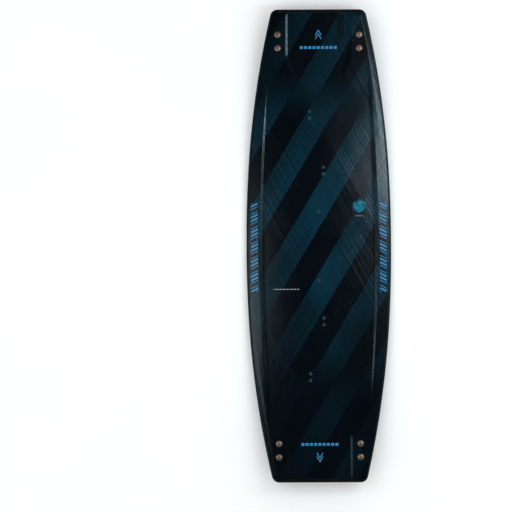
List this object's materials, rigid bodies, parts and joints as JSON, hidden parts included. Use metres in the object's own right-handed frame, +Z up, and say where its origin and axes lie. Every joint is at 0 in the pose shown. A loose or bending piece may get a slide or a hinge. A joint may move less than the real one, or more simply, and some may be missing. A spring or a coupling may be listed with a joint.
{
  "type": "kiteboard",
  "caption": "Twin-tip kiteboard: stepped carbon deck, double-concave base, plastic edge rails, bolted layered fins, and threaded inserts for pads and a grab handle",
  "frame": {"origin": "On the ground below the middle of the board, which stands on its four fins with the deck up", "axes": "+Z up through the deck, +Y along the board to the nose tip, +X across the board to the right when the nose points away"},
  "size_m": [0.43, 1.4, 0.0621],
  "materials": {
    "core_wood": "matte",
    "carbon": "satin",
    "deck_print": "satin",
    "base_print": "gloss",
    "rail_plastic": "satin",
    "fin_red": "satin",
    "fin_black": "satin",
    "brass": "satin",
    "steel": "satin",
    "plug_plastic": "matte",
    "label_black": "gloss",
    "badge_film": "gloss"
  },
  "bodies": {
    "root": {"wood_core": "core_wood", "deck_laminate": "carbon", "base_laminate": "carbon", "deck_sheet": "deck_print", "base_sheet": "base_print", "left_rail": "rail_plastic", "right_rail": "rail_plastic", "nose_rail": "rail_plastic", "tail_rail": "rail_plastic", "nose_left_fin_core": "fin_red", "nose_right_fin_core": "fin_red", "tail_left_fin_core": "fin_red", "tail_right_fin_core": "fin_red", "nose_left_fin_cheeks": "fin_black", "nose_right_fin_cheeks": "fin_black", "tail_left_fin_cheeks": "fin_black", "tail_right_fin_cheeks": "fin_black", "fin_inserts": "brass", "fin_screws": "steel", "fin_washers": "steel", "fin_hole_plugs": "plug_plastic", "nose_pad_inserts": "steel", "tail_pad_inserts": "steel", "handle_inserts": "steel", "badge_label": "label_black", "badge_window": "badge_film"}
  },
  "joints": []
}
